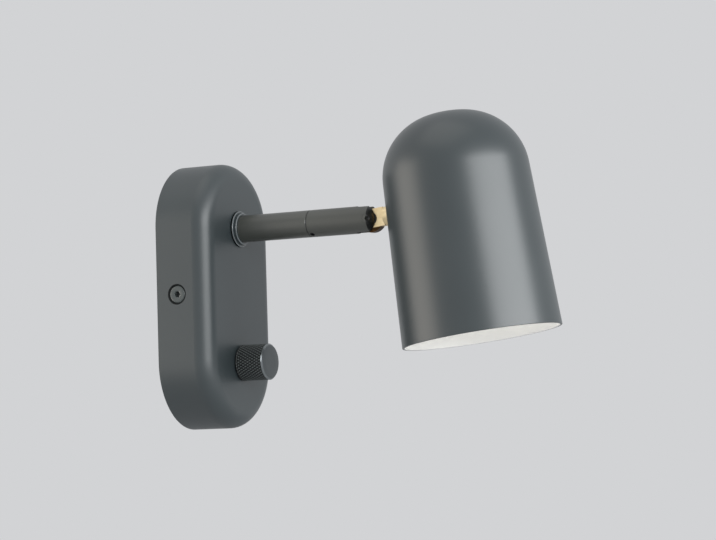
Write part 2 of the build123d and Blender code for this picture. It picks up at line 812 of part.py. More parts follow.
def make_holder_nipple():
    """Threaded tube that ties the lamp holder to the bracket."""
    start = holder_top - holder_nipple_in
    return on_shade_axis(tube(nipple_radius, nipple_bore, start, start + holder_nipple_length))


def make_holder_nut():
    """Nut on the holder's nipple, above the bracket."""
    start = bracket_up + bracket_thickness
    end = start + holder_nut_thickness
    return on_shade_axis(nut(lock_nut_flats, nipple_radius + fit_clearance, start, end))


def make_lamp_holder():
    """Moulded lamp holder, hanging mouth down, with a shoulder below the bracket."""
    skirt_top = holder_top - holder_shoulder
    well = shell_bore + shell_thickness + fit_clearance
    thread = nipple_radius + fit_clearance
    holder = turned(
        [
            (well, holder_mouth),
            (holder_radius, holder_mouth),
            (holder_radius, skirt_top),
            (holder_top_radius, holder_top),
            (thread, holder_top),
            (thread, holder_top - holder_nipple_in),
            (0, holder_top - holder_nipple_in),
            (0, socket_floor),
            (well, socket_floor),
        ]
    )
    entry_radius = lead_spacing / 2 + lead_radius + joint_gap
    entry = Pos(0, 0, lead_hole_up) * Rot(90, 0, 0) * rod(entry_radius, holder_radius * 0.4, 2 * holder_radius)
    return on_shade_axis(holder - Rot(0, 0, 180) * entry)


def make_holder_screw_shell():
    """Thin threaded sleeve that takes the bulb's cap."""
    start = holder_mouth + shell_from_mouth
    outer = shell_bore + shell_thickness
    return on_shade_axis(tube(outer, shell_bore, start, start + shell_length))


def make_centre_contact():
    """Contact disc at the floor of the socket."""
    return on_shade_axis(rod(contact_radius, socket_floor - contact_thickness, socket_floor))


def make_bulb_cap():
    """Screw cap of the bulb with its insulated cone and tip."""
    top = bulb_tip - cap_tip_length
    foot = bulb_shoulder - cap_in_neck
    cap = turned(
        [
            (0, foot),
            (cap_radius, foot),
            (cap_radius, top - cap_cone),
            (cap_cone_radius, top),
            (cap_tip_radius, top),
            (cap_tip_radius, bulb_tip),
            (0, bulb_tip),
        ]
    )
    return on_shade_axis(cap)


def globe_solid(inset):
    """Ball with a conical neck tangent to it, moved inwards by inset."""
    radius = bulb_radius - inset
    centre = bulb_tip - bulb_length + bulb_radius
    neck = bulb_neck_radius - inset
    top = bulb_shoulder - inset
    bearing = math.atan2(top - centre, neck) - math.acos(radius / math.hypot(neck, top - centre))
    touch = (radius * math.cos(bearing), centre + radius * math.sin(bearing))
    ball = CenterArc((0, centre), radius, -90, 90 + math.degrees(bearing))
    outline = [
        ball,
        Line(touch, (neck, top)),
        Line((neck, top), (0, top)),
        Line((0, top), (0, centre - radius)),
    ]
    return revolve(Plane.XZ * make_face(outline), Axis.Z)


def make_bulb_globe():
    """Opal globe with an even wall, open at its neck for the cap."""
    globe = globe_solid(0) - globe_solid(bulb_wall)
    bore = rod(cap_radius + fit_clearance, bulb_shoulder - 2 * bulb_wall, bulb_shoulder)
    return on_shade_axis(globe - bore)


def make_head_leads():
    """Leads from the tongue's channel through the stub and up into the lamp holder's side."""
    entry = shade_offset - holder_radius * 0.8
    round_start = eye_radius + tongue_round_clearance
    points = [
        (lead_channel_up, -eye_radius + 0.5),
        (lead_channel_up, pivot_screw_radius + 1.5),
        (0, round_start + 1.0),
        (0, stub_end + lead_out_of_stub),
        (lead_hole_up, stub_end + 3 * lead_out_of_stub),
        (lead_hole_up, entry),
    ]
    return lead_pair(0, points, lead_bend / 2)


# ------------------------------------------------------------------------------------ files
base_and_rear_arm = {
    "base_cover": make_base_cover,
    "cover_screws": make_cover_screws,
    "wall_plate": make_wall_plate,
    "clinch_nuts": make_clinch_nuts,
    "cable_grommet": make_cable_grommet,
    "terminal_block": make_terminal_block,
    "terminal_inserts": make_terminal_inserts,
    "terminal_screws": make_terminal_screws,
    "earth_screw": make_earth_screw,
    "earth_washer": make_earth_washer,
    "arm_supply_leads": make_arm_supply_leads,
    "dimmer_leads": make_dimmer_leads,
    "arm_collar": make_arm_collar,
    "rear_arm_tube": make_rear_arm_tube,
    "arm_nipple": make_arm_nipple,
    "arm_lock_washer": make_arm_lock_washer,
    "arm_lock_nut": make_arm_lock_nut,
    "seam_washer": make_seam_washer,
    "friction_ring": make_friction_ring,
    "dimmer_body": make_dimmer_body,
    "dimmer_bush": make_dimmer_bush,
    "dimmer_washer": make_dimmer_washer,
    "dimmer_nut": make_dimmer_nut,
    "dimmer_shaft": make_dimmer_shaft,
    "knob": make_knob,
}
swivel = {
    "swivel_spigot": make_swivel_spigot,
    "front_arm": make_front_arm,
    "stop_screw": make_stop_screw,
    "pivot_screw": make_pivot_screw,
    "friction_washers": make_friction_washers,
    "arm_leads": make_arm_leads,
}
head = {
    "tongue": make_tongue,
    "shade": make_shade,
    "saddle_washer": make_saddle_washer,
    "holder_bracket": make_holder_bracket,
    "shade_nut": make_shade_nut,
    "holder_nipple": make_holder_nipple,
    "holder_nut": make_holder_nut,
    "lamp_holder": make_lamp_holder,
    "holder_screw_shell": make_holder_screw_shell,
    "centre_contact": make_centre_contact,
    "bulb_cap": make_bulb_cap,
    "bulb_globe": make_bulb_globe,
    "head_leads": make_head_leads,
}


def write_node(name, made, place):
    """Turn a node's solids into the lamp's frame, +Z up and the wall at y = 0, and save them."""
    pieces = made if isinstance(made, list) else [made]
    solids = []
    for piece in pieces:
        moved = Rot(90, 0, 0) * place(piece)
        solids.extend(moved.solids())
    export_step(Compound(children=solids) if len(solids) > 1 else solids[0], f"parts/{name}.step")


os.makedirs("parts", exist_ok=True)
for name, make in base_and_rear_arm.items():
    write_node(name, make(), lambda piece: piece)
for name, make in swivel.items():
    write_node(name, make(), place_swivelling)
for name, make in head.items():
    write_node(name, make(), place_head)
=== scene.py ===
# %% [markdown]
# # A bedside wall reading lamp
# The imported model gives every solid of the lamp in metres, with the wall at y = 0 and the arm
# reaching towards -Y. This lesson dresses it: a camera, soft light, new surfaces where the real
# lamp has finer shape than the solids, and a finish for every piece.

# %% Load the frame
import math

import bpy
import numpy as np
from mathutils import Matrix, Vector


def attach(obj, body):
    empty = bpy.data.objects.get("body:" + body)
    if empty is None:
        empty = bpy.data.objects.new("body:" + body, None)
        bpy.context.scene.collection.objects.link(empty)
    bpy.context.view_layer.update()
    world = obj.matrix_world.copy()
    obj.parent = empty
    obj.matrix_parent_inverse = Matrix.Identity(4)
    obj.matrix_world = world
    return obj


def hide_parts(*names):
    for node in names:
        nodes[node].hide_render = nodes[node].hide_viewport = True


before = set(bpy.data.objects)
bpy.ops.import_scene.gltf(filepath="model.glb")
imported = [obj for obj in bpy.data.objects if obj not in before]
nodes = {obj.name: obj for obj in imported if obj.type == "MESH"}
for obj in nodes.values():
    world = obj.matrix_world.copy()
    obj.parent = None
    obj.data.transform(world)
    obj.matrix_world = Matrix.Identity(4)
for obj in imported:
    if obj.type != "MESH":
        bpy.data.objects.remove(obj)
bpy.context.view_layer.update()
mm = 0.001

# %% [markdown]
# ## The camera
# A product photograph is taken from a metre or so away with a long lens, so that edges stay
# nearly parallel. The camera's place and its three axes say the same thing as location and
# rotation, and a 4 by 4 matrix holds them without any angle conventions.

# %% Camera
camera_place = Vector((-1.10073, -0.65263, -0.08295))
camera_right = Vector((0.45048, -0.89228, -0.03013)).normalized()
camera_up = Vector((-0.05308, -0.06045, 0.99676)).normalized()
camera_back = camera_right.cross(camera_up)
camera_data = bpy.data.cameras.new("camera")
camera_data.sensor_width = 36.0
camera_data.lens = 120.377
camera = bpy.data.objects.new("camera", camera_data)
axes = Matrix((camera_right, camera_up, camera_back)).transposed().to_4x4()
camera.matrix_world = Matrix.Translation(camera_place) @ axes
bpy.context.scene.collection.objects.link(camera)
bpy.context.scene.camera = camera
bpy.context.scene.view_settings.view_transform = "Standard"
print("camera distance to the base:", round(camera_place.length, 3))

# %% [markdown]
# ## Shader maths
# A procedural material is a small formula. Wrapping a node's output in a class that overloads
# the operators lets the formula be written as one, and each operator adds its Math node.


# %% Sockets as values
class Value:
    """An output socket in a material; arithmetic on it adds Math nodes."""

    def __init__(self, paint, socket):
        self.paint = paint
        self.socket = socket

    def _maths(self, operation, first, second):
        made = self.paint.node("ShaderNodeMath", {"operation": operation}, {0: first, 1: second})
        return made["Value"]

    def __add__(self, other):
        return self._maths("ADD", self, other)

    def __mul__(self, other):
        return self._maths("MULTIPLY", self, other)

    def __sub__(self, other):
        return self._maths("SUBTRACT", self, other)

    def __rsub__(self, other):
        return self._maths("SUBTRACT", other, self)

    def __pow__(self, other):
        return self._maths("POWER", self, other)

    def __gt__(self, other):
        return self._maths("GREATER_THAN", self, other)

    def step(self, start, end):
        """0 before start, 1 past end, and a straight ramp between them."""
        sockets = {"Value": self, "From Min": start, "From Max": end}
        return self.paint.node("ShaderNodeMapRange", {}, sockets)["Result"]

    __radd__ = __add__
    __rmul__ = __mul__


class Paint:
    """A material with one Principled shader, and one method that adds any other node."""

    def __init__(self, name, **uniform):
        self.material = bpy.data.materials.new(name)
        self.material.use_nodes = True
        self.tree = self.material.node_tree
        self.shader = self.tree.nodes["Principled BSDF"]
        for socket, value in uniform.items():
            self.shader.inputs[socket.replace("_", " ")].default_value = value

    def node(self, kind, settings, sockets):
        """Adds a node: its settings first, then the values or links of its input sockets."""
        made = self.tree.nodes.new(kind)
        for key, value in settings.items():
            setattr(made, key, value)
        for key, value in sockets.items():
            if isinstance(value, Value):
                self.tree.links.new(value.socket, made.inputs[key])
            else:
                made.inputs[key].default_value = value
        return {output.name: Value(self, output) for output in made.outputs if output.enabled}

    def place(self):
        """Object coordinates, in metres."""
        return self.node("ShaderNodeTexCoord", {}, {})["Object"]

    def axes(self):
        """X, Y and Z of the Object coordinates, each as a value."""
        parts = self.node("ShaderNodeSeparateXYZ", {}, {"Vector": self.place()})
        return parts["X"], parts["Y"], parts["Z"]

    def turned(self, turn):
        """Object coordinates turned by three angles."""
        sockets = {"Vector": self.place(), "Rotation": turn}
        return self.node("ShaderNodeMapping", {}, sockets)["Vector"]

    def noise(self, size, detail=2.0):
        """Noise between 0 and 1 whose blotches measure about size metres."""
        sockets = {"Vector": self.place(), "Scale": 1 / size, "Detail": detail}
        return self.node("ShaderNodeTexNoise", {}, sockets)["Fac"]

    def blend(self, factor, low, high):
        """Colour that goes from low to high with factor.

        A Mix node has sockets for numbers, vectors and colours; 6 and 7 are its two colours.
        """
        sockets = {0: factor, 6: low, 7: high}
        return self.node("ShaderNodeMix", {"data_type": "RGBA"}, sockets)["Result"]

    def bump(self, height, strength, distance):
        """Normal tilted by a height pattern; distance in metres for a height of 1."""
        sockets = {"Height": height, "Strength": strength, "Distance": distance}
        return self.node("ShaderNodeBump", {}, sockets)["Normal"]

    def feed(self, socket, value):
        """Links a varying value to one of the shader's sockets."""
        self.tree.links.new(value.socket, self.shader.inputs[socket])


def colour(red, green, blue):
    """Linear colour from the 0 to 255 numbers that a screen shows."""
    screen = np.array([red, green, blue]) / 255
    linear = np.where(screen <= 0.04045, screen / 12.92, ((screen + 0.055) / 1.055) ** 2.4)
    return (*linear.tolist(), 1.0)


def dress(paint, *names):
    """Gives CAD nodes or new pieces a material in place of what they have."""
    for name in names:
        piece = nodes.get(name) or bpy.data.objects[name]
        piece.data.materials.clear()
        piece.data.materials.append(paint.material)


# %% [markdown]
# ## Powder-coated metal
# Base, arm, knob and shade are steel with a slate powder coat: a satin skin with a very fine
# orange peel, a little darker and lighter in large soft patches. Two noises, one of a third of
# a millimetre for the peel and one of a few centimetres for the patches, are enough.


# %% Slate paint
patch_size = 35.0 * mm
peel_size = 0.35 * mm
peel_depth = 0.012 * mm


def powder_coat(name, dark, light, rough=0.37, gloss=0.95):
    """Satin powder coat: two close tones in soft patches, and an orange peel."""
    paint = Paint(name, Metallic=0.0, Specular_IOR_Level=gloss)
    patches = paint.noise(patch_size, 1.0)
    peel = paint.noise(peel_size)
    paint.feed("Base Color", paint.blend(patches, dark, light))
    paint.feed("Roughness", peel * 0.06 + patches * 0.04 + (rough - 0.05))
    paint.feed("Normal", paint.bump(peel, 0.6, peel_depth))
    return paint


slate_dark = colour(50, 59, 62)
slate_light = colour(57, 66, 68)
slate = powder_coat("slate_powder_coat", slate_dark, slate_light)
print("made", slate.material.name)

# %% [markdown]
# ## Metals, plastics and rubber
# The fittings are small, so their finish is mostly in how sharp and how even the highlight is:
# zinc has cloudy patches, turned brass has fine rings, black steel is nearly dull.


# %% Fittings
def plated(name, dark, light, rough=0.32):
    """Plated steel: cloudy patches in tone and gloss."""
    paint = Paint(name, Metallic=1.0)
    clouds = paint.noise(4.0 * mm, 3.0)
    paint.feed("Base Color", paint.blend(clouds, dark, light))
    paint.feed("Roughness", clouds * 0.14 + (rough - 0.07))
    paint.feed("Normal", paint.bump(paint.noise(0.2 * mm, 1.0), 0.5, 0.006 * mm))
    return paint


def moulded(name, dark, light, rough, grain=0.4 * mm):
    """Moulded plastic or rubber: an even tone with a fine matt grain."""
    paint = Paint(name, Metallic=0.0)
    clouds = paint.noise(10.0 * mm)
    grains = paint.noise(grain)
    paint.feed("Base Color", paint.blend(clouds, dark, light))
    paint.feed("Roughness", grains * 0.12 + (rough - 0.06))
    paint.feed("Normal", paint.bump(grains, 0.5, 0.02 * mm))
    return paint


def turned_brass(name, turn, dark, light):
    """Turned brass: fine bands that follow one another along the turned X direction.

    A Wave texture repeats about every 0.314 units at a scale of 1.
    """
    paint = Paint(name, Metallic=1.0)
    scale = 0.314 / (0.3 * mm)
    sockets = {"Vector": paint.turned(turn), "Scale": scale, "Distortion": 0.4, "Detail": 2.0}
    settings = {"wave_type": "BANDS", "bands_direction": "X"}
    rings = paint.node("ShaderNodeTexWave", settings, sockets)["Fac"]
    patches = paint.noise(3.0 * mm)
    paint.feed("Base Color", paint.blend(patches, dark, light))
    paint.feed("Roughness", rings * 0.06 + patches * 0.08 + 0.24)
    paint.feed("Normal", paint.bump(rings, 0.4, 0.01 * mm))
    return paint


zinc = plated("zinc_plate", colour(176, 176, 172), colour(205, 204, 196))
bright_steel = plated("bright_steel", colour(180, 180, 182), colour(214, 214, 214), 0.24)
black_steel = plated("black_oxide_steel", colour(34, 34, 36), colour(52, 51, 52), 0.42)
nickel = plated("nickel_plate", colour(190, 184, 170), colour(216, 210, 196), 0.22)
black_rubber = moulded("black_rubber", colour(26, 26, 26), colour(36, 36, 36), 0.7)
black_nylon = moulded("black_nylon", colour(22, 22, 23), colour(34, 34, 35), 0.5)
black_plastic = moulded("black_plastic", colour(30, 30, 32), colour(42, 42, 44), 0.48)
white_plastic = moulded("white_plastic", colour(226, 224, 216), colour(238, 236, 229), 0.42)
quarter_turn = (0, 0, math.pi / 2)
brass_dark = colour(214, 178, 112)
brass_light = colour(238, 205, 140)
brass_along_y = turned_brass("turned_brass", quarter_turn, brass_dark, brass_light)
print("finishes so far:", len(bpy.data.materials))

# %% [markdown]
# The arm is a little lighter and warmer than base and shade.
# Two pieces carry painted light and shade along their length. The tip of the front arm sits close
# behind the shade and is painted as a shadow: past the plane where the round tube turns into the
# dome, the slate gives way to a smoother black. The tongue is painted pale as a highlight where it
# shows in front of the fork, and its lower lug is painted dark brown as a shadow. A straight ramp
# along one direction, at most a quarter of a millimetre wide, makes each border.


# %% Painted shadow on the tip, painted light and shadow on the tongue
arm_up = 35.0 * mm
pivot = np.array([0.0, -109.25 * mm, arm_up])
shadow_tip_border = -108.65 * mm
shadow_lug_border = -4.75 * mm
tilt = math.radians(7.36)
arm_dark = colour(74, 76, 71)
arm_light = colour(82, 84, 78)


def painted_shadow_tip_coat(name, border):
    """Slate powder coat that turns to satin black, a painted shadow, where Y is below the border.
    """
    paint = Paint(name, Metallic=0.0, Specular_IOR_Level=0.9)
    _, along, _ = paint.axes()
    # painted shadow: the dome of the tip, close behind the shade, turns black
    tip = (border - along).step(0.0, 0.1 * mm)
    patches = paint.noise(patch_size, 1.0)
    peel = paint.noise(peel_size)
    coat = paint.blend(patches, arm_dark, arm_light)
    specks = paint.noise(1.2 * mm, 3.0)
    # the black of the painted shadow
    black = paint.blend(specks, colour(20, 22, 22), colour(38, 38, 36))
    paint.feed("Base Color", paint.blend(tip, coat, black))
    paint.feed("Roughness", peel * 0.06 + 0.4 - tip * 0.08)
    paint.feed("Normal", paint.bump(peel, 0.6, peel_depth))
    return paint


def brass_with_painted_light_and_shadow(name, border):
    """Brass painted pale as a highlight and, below the border up the shade's axis from the pivot,
    dark brown as a shadow.
    """
    paint = Paint(name, Metallic=1.0)
    _, along, up = paint.axes()
    height = (along - pivot[1]) * math.sin(tilt) + (up - pivot[2]) * math.cos(tilt)
    # painted shadow on the lower lug, below the border
    lug = (border - height).step(0.0, 0.25 * mm)
    patches = paint.noise(3.0 * mm)
    # pale, lit copy of brass: a painted highlight
    pale = paint.blend(patches, colour(240, 212, 160), colour(255, 236, 194))
    # dark brown, shaded copy of brass: a painted shadow
    brown = paint.blend(patches, colour(52, 38, 24), colour(96, 70, 42))
    paint.feed("Base Color", paint.blend(lug, pale, brown))
    paint.feed("Roughness", patches * 0.1 + 0.26 + lug * 0.2)
    paint.feed("Normal", paint.bump(paint.noise(0.25 * mm, 1.0), 0.4, 0.008 * mm))
    return paint


slate_with_painted_shadow_tip = painted_shadow_tip_coat("slate_painted_shadow_tip", shadow_tip_border)
tongue_brass_lit_and_shadowed = brass_with_painted_light_and_shadow("tongue_brass_lit_and_shadowed", shadow_lug_border)
arm_slate = powder_coat("warm_slate_arm", arm_dark, arm_light)
ring_dark = colour(50, 53, 53)
ring_light = colour(60, 62, 61)
dark_slate = powder_coat("dark_slate_ring", ring_dark, ring_light, rough=0.5, gloss=0.5)
print("finishes so far:", len(bpy.data.materials))

# %% [markdown]
# On the base, the countersinks of the two side screws get dark rings of painted shadow. The collar
# gets a painted shadow where it meets the base, and the rims of its two steps get a paler, smoother
# coat as a painted highlight. Distances from the screw's axis and from the arm's axis give these
# masks. Black paint still mirrors a few percent of what it sees, but a metal mirrors only its own
# colour, so a nearly black one mirrors very little and the painted shadows are metallic.

# %% Painted shadow in rings and joint, painted highlight on rims
screw_out = 12.0 * mm
recess_radius = 5.42 * mm
base_front = 30.5 * mm


def coat_with_painted_recess_shadow(name):
    """Slate powder coat with a painted shadow, nearly black, inside the screw recesses."""
    paint = Paint(name, Specular_IOR_Level=0.95)
    _, along, up = paint.axes()
    away = along + screw_out
    # painted shadow: nearly black inside the countersinks
    recess = (recess_radius - (away * away + up * up) ** 0.5).step(0.0, 0.08 * mm)
    patches = paint.noise(patch_size, 1.0)
    peel = paint.noise(peel_size)
    coat = paint.blend(patches, slate_dark, slate_light)
    shadow = paint.blend(patches, colour(22, 25, 25), colour(32, 35, 35))
    paint.feed("Base Color", paint.blend(recess, coat, shadow))
    # metallic, so the painted shadow mirrors little
    paint.feed("Metallic", recess * 0.7)
    paint.feed("Roughness", peel * 0.06 + patches * 0.04 + recess * 0.4 + 0.37)
    paint.feed("Normal", paint.bump(peel, 0.6, peel_depth))
    return paint


def collar_with_painted_light_and_shadow(name):
    """Slate with a painted shadow at the joint with the base, and a paler, glossier painted
    highlight on the rims.
    """
    paint = Paint(name, Specular_IOR_Level=0.9)
    across, along, up = paint.axes()
    height = up - arm_up
    radius = (across * across + height * height) ** 0.5
    rise = -base_front - along
    # the rims of the two steps get a painted highlight
    flange_rim = radius.step(9.0 * mm, 9.1 * mm) * rise.step(0.8 * mm, 0.95 * mm)
    step_rim = radius.step(7.85 * mm, 7.95 * mm) * rise.step(2.3 * mm, 2.45 * mm)
    rims = flange_rim + step_rim
    # painted shadow where the collar meets the base
    joint = 1.0 - rise.step(0.65 * mm, 0.8 * mm)
    coat = paint.blend(paint.noise(10.0 * mm, 1.0), slate_dark, slate_light)
    # pale colour of the painted highlight
    pale = paint.blend(paint.noise(1.5 * mm), colour(104, 110, 112), colour(128, 134, 136))
    rims_painted_highlight = paint.blend(rims, coat, pale)
    paint.feed("Base Color", paint.blend(joint, rims_painted_highlight, colour(16, 18, 19)))
    paint.feed("Metallic", joint)
    paint.feed("Roughness", paint.noise(0.4 * mm) * 0.06 + 0.34 - rims * 0.16 + joint * 0.3)
    paint.feed("Normal", paint.bump(paint.noise(peel_size), 0.4, 0.01 * mm))
    return paint


cover_paint = coat_with_painted_recess_shadow("slate_cover_coat_painted_shadow")
collar_paint = collar_with_painted_light_and_shadow("slate_collar_coat_painted_light_and_shadow")
print("made", cover_paint.material.name, "and", collar_paint.material.name)

# %% [markdown]
# The leads run in pairs side by side, one brown and one blue. Both are in one node, so the
# colour changes where X passes the middle of the pair.


# %% Leads
def sleeved_leads(name, middle):
    """Brown insulation on one side of the pair's middle, blue on the other."""
    paint = Paint(name, Metallic=0.0)
    across, _, _ = paint.axes()
    side = across > middle
    paint.feed("Base Color", paint.blend(side, colour(104, 60, 34), colour(40, 78, 140)))
    paint.feed("Roughness", paint.noise(1.0 * mm, 1.0) * 0.1 + 0.4)
    return paint


paired_leads = sleeved_leads("leads_brown_and_blue", 0.0)
dimmer_lead_paint = sleeved_leads("dimmer_leads_brown_and_blue", 9.0 * mm)

# %% [markdown]
# Every solid that keeps its own mesh now gets its finish. Shade, knob and side screws aren't in
# this list, because new surfaces with their own finish replace them further down.

# %% Finishes of the CAD nodes
dress(arm_slate, "rear_arm_tube")
dress(cover_paint, "base_cover")
dress(collar_paint, "arm_collar")
dress(slate_with_painted_shadow_tip, "front_arm", "pivot_screw")
dress(dark_slate, "seam_washer")
dress(zinc, "wall_plate", "clinch_nuts", "arm_nipple", "arm_lock_washer", "arm_lock_nut")
dress(zinc, "holder_bracket", "shade_nut", "holder_nipple", "holder_nut")
dress(zinc, "dimmer_washer", "dimmer_nut", "dimmer_bush")
dress(bright_steel, "terminal_screws", "dimmer_shaft", "earth_washer")
dress(black_steel, "stop_screw")
dress(brass_along_y, "swivel_spigot", "terminal_inserts", "holder_screw_shell")
dress(brass_along_y, "centre_contact", "earth_screw")
dress(tongue_brass_lit_and_shadowed, "tongue")
dress(nickel, "bulb_cap")
dress(black_rubber, "cable_grommet", "friction_ring")
dress(black_nylon, "friction_washers", "saddle_washer")
dress(black_plastic, "dimmer_body")
dress(white_plastic, "terminal_block", "lamp_holder")
dress(paired_leads, "arm_supply_leads", "arm_leads", "head_leads")
dress(dimmer_lead_paint, "dimmer_leads")


# %% [markdown]
# ## Surfaces from arrays
# A turned shape is a profile swung round an axis. Working it out as one array of rows and
# columns keeps the poles and the seam closed, because the last column joins the first.


# %% A closed skin
def skin(name, grids, sharp=35.0):
    """Mesh from closed skins, each grid[row, column] = (x, y, z) going once round the columns.

    The mean of the first row and of the last row becomes a pole, joined to its row by a fan.
    """
    points = np.empty((0, 3))
    faces = []
    for grid in grids:
        rows, columns, _ = grid.shape
        first = len(points)
        row, column = np.meshgrid(np.arange(rows - 1), np.arange(columns), indexing="ij")
        here = first + row * columns + column
        beside = first + row * columns + (column + 1) % columns
        quads = np.stack([here, beside, beside + columns, here + columns], axis=-1)
        ring = np.arange(columns)
        beyond = (ring + 1) % columns
        pole = np.full(columns, first + rows * columns)
        end = first + (rows - 1) * columns
        near_fan = np.stack([pole, first + beyond, first + ring], axis=-1)
        far_fan = np.stack([pole + 1, end + ring, end + beyond], axis=-1)
        faces += quads.reshape(-1, 4).tolist() + near_fan.tolist() + far_fan.tolist()
        poles = [grid[0].mean(axis=0), grid[-1].mean(axis=0)]
        points = np.vstack([points, grid.reshape(-1, 3), *poles])
    mesh = bpy.data.meshes.new(name)
    mesh.from_pydata(points.tolist(), [], faces)
    mesh.polygons.foreach_set("use_smooth", np.ones(len(mesh.polygons), dtype=bool))
    mesh.set_sharp_from_angle(angle=math.radians(sharp))
    mesh.update()
    piece = bpy.data.objects.new(name, mesh)
    bpy.context.scene.collection.objects.link(piece)
    print(name, "points:", len(points), "faces:", len(faces))
    return piece


def swung(radii, heights, columns):
    """Rows of (r cos a, r sin a, h) for each profile point, a going once round."""
    angle = np.linspace(0, 2 * np.pi, columns, endpoint=False)
    radii = np.asarray(radii)[:, None]
    across = radii * np.cos(angle)
    other = radii * np.sin(angle)
    along = np.broadcast_to(np.asarray(heights)[:, None], across.shape)
    return across, other, along


# %% [markdown]
# ## The shade
# The shade is spun from sheet: a skirt that widens slowly, a knuckle arc tangent to it and a
# flatter crown arc tangent to the knuckle. Outside it is slate, inside white enamel, so the
# profile is walked from the outer crown down to the rim and back up inside.

# %% Shade profile
swivel = math.radians(1.1)
rim_height = -70.6 * mm
rim_radius = 40.7 * mm
top_height = 45.1 * mm
slope = math.tan(math.radians(2.2))
shade_offset = 12.28 * mm + rim_radius + rim_height * slope
wall = 1.2 * mm
knuckle_radius = 32.5 * mm
crown_radius = 64.4 * mm


def shade_profile(inset):
    """Radii and heights from the crown's centre down to the rim, moved inwards by inset.

    The knuckle's centre is a knuckle radius from the taper line and the difference of the two
    radii from the crown's centre, so its height solves a quadratic equation.
    """
    angle = math.atan(slope)
    crown_height = top_height - crown_radius
    reach = rim_radius + rim_height * slope - knuckle_radius / math.cos(angle)
    a = 1 + slope**2
    b = -2 * (reach * slope + crown_height)
    c = reach**2 + crown_height**2 - (crown_radius - knuckle_radius) ** 2
    knuckle_height = (-b + math.sqrt(b**2 - 4 * a * c)) / (2 * a)
    knuckle_across = reach - knuckle_height * slope
    turn = math.atan2(knuckle_height - crown_height, knuckle_across)
    crown = np.linspace(math.radians(89.5), turn, 22, endpoint=False)
    knuckle = np.linspace(turn, angle, 30, endpoint=False)
    skirt = np.linspace(0, 1, 26)
    start_height = knuckle_height + (knuckle_radius - inset) * math.sin(angle)
    start_radius = knuckle_across + (knuckle_radius - inset) * math.cos(angle)
    foot_radius = rim_radius - inset / math.cos(angle)
    radii = np.concatenate(
        [
            (crown_radius - inset) * np.cos(crown),
            knuckle_across + (knuckle_radius - inset) * np.cos(knuckle),
            start_radius + (foot_radius - start_radius) * skirt,
        ]
    )
    heights = np.concatenate(
        [
            crown_height + (crown_radius - inset) * np.sin(crown),
            knuckle_height + (knuckle_radius - inset) * np.sin(knuckle),
            start_height + (rim_height - start_height) * skirt,
        ]
    )
    return radii, heights


def from_head(across, up, out):
    """Points drawn about the pivot, up the shade's axis and out along the tongue, in the frame.

    They are tilted about the pivot first, and then turned a little about the arm's axis.
    """
    y = pivot[1] - (out * math.cos(tilt) - up * math.sin(tilt))
    rise = up * math.cos(tilt) + out * math.sin(tilt)
    x = across * math.cos(swivel) - rise * math.sin(swivel)
    z = pivot[2] + across * math.sin(swivel) + rise * math.cos(swivel)
    return np.stack([x, y, z], axis=-1)


# %% [markdown]
# The outer and the inner profile are joined at the rim by a small lip, and the whole is swung
# once round the shade's axis. It rides on the head, so the shade tilts with the tongue.

# %% Shade surface
outer_radii, outer_heights = shade_profile(0.0)
inner_radii, inner_heights = shade_profile(wall)
lip = 0.15 * mm
outer_radii[-1] -= lip * slope
outer_heights[-1] += lip
inner_heights[-1] += lip
shade_columns = 256
rim_radii = [rim_radius - lip, inner_radii[-1] + lip]
profile_radii = np.concatenate([outer_radii, rim_radii, inner_radii[::-1]])
profile_heights = np.concatenate([outer_heights, [rim_height, rim_height], inner_heights[::-1]])
across, beside, up = swung(profile_radii, profile_heights, shade_columns)
shade_skin = skin("shade_skin", [from_head(across, up, shade_offset + beside)])
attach(shade_skin, "head")
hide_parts("shade")

# %% [markdown]
# The finish changes at the rim. A mask could compare each point's distance from the axis with
# the middle of the wall, but in the dome that needs the distance from the knuckle ring too. It
# is simpler to give the inner faces their own material: the last rows of the grid, and the
# second of the two fans that close the poles.

# %% Enamel inside
enamel = moulded("white_enamel", colour(250, 250, 249), colour(255, 255, 254), 0.38, 0.5 * mm)
shade_skin.data.materials.append(slate.material)
shade_skin.data.materials.append(enamel.material)
inner_start = (len(outer_radii) + 1) * shade_columns
fans_start = (len(profile_radii) - 1) * shade_columns
finish_of = np.zeros(len(shade_skin.data.polygons), dtype=np.int32)
finish_of[inner_start:fans_start] = 1
finish_of[fans_start + shade_columns :] = 1
shade_skin.data.polygons.foreach_set("material_index", finish_of)
print("enamelled faces:", int(finish_of.sum()))

# %% [markdown]
# ## The knurled knob
# A diamond knurl is rolled into the knob's side: two sets of grooves that wind round in
# opposite directions, at 30 degrees to the axis. The height of each set is a triangle wave of
# angle plus or minus distance along the knob, and the lower of the two leaves the pyramids.

# %% Knob profile and knurl
knob_place = -35.8 * mm
knob_rear = 31.1 * mm
knob_front = 47.2 * mm
knob_outer = 9.55 * mm
front_chamfer = 0.8 * mm
rear_chamfer = 0.4 * mm
knurl_depth = 0.45 * mm
knurl_count = 38
knurl_fade = 0.25 * mm
tip_flatness = 1.25
knurl_pitch = 2 * math.pi * knob_outer / knurl_count / math.tan(math.radians(30))
knob_columns = knurl_count * 12


def knurl_height(turns, along):
    """1 on a pyramid's tip and 0 in the grooves, for turns round the knob and metres along it."""
    wave_a = np.abs(2 * ((turns * knurl_count + along / knurl_pitch) % 1.0) - 1)
    wave_b = np.abs(2 * ((turns * knurl_count - along / knurl_pitch) % 1.0) - 1)
    return np.minimum(1.0, tip_flatness * np.minimum(wave_a, wave_b))


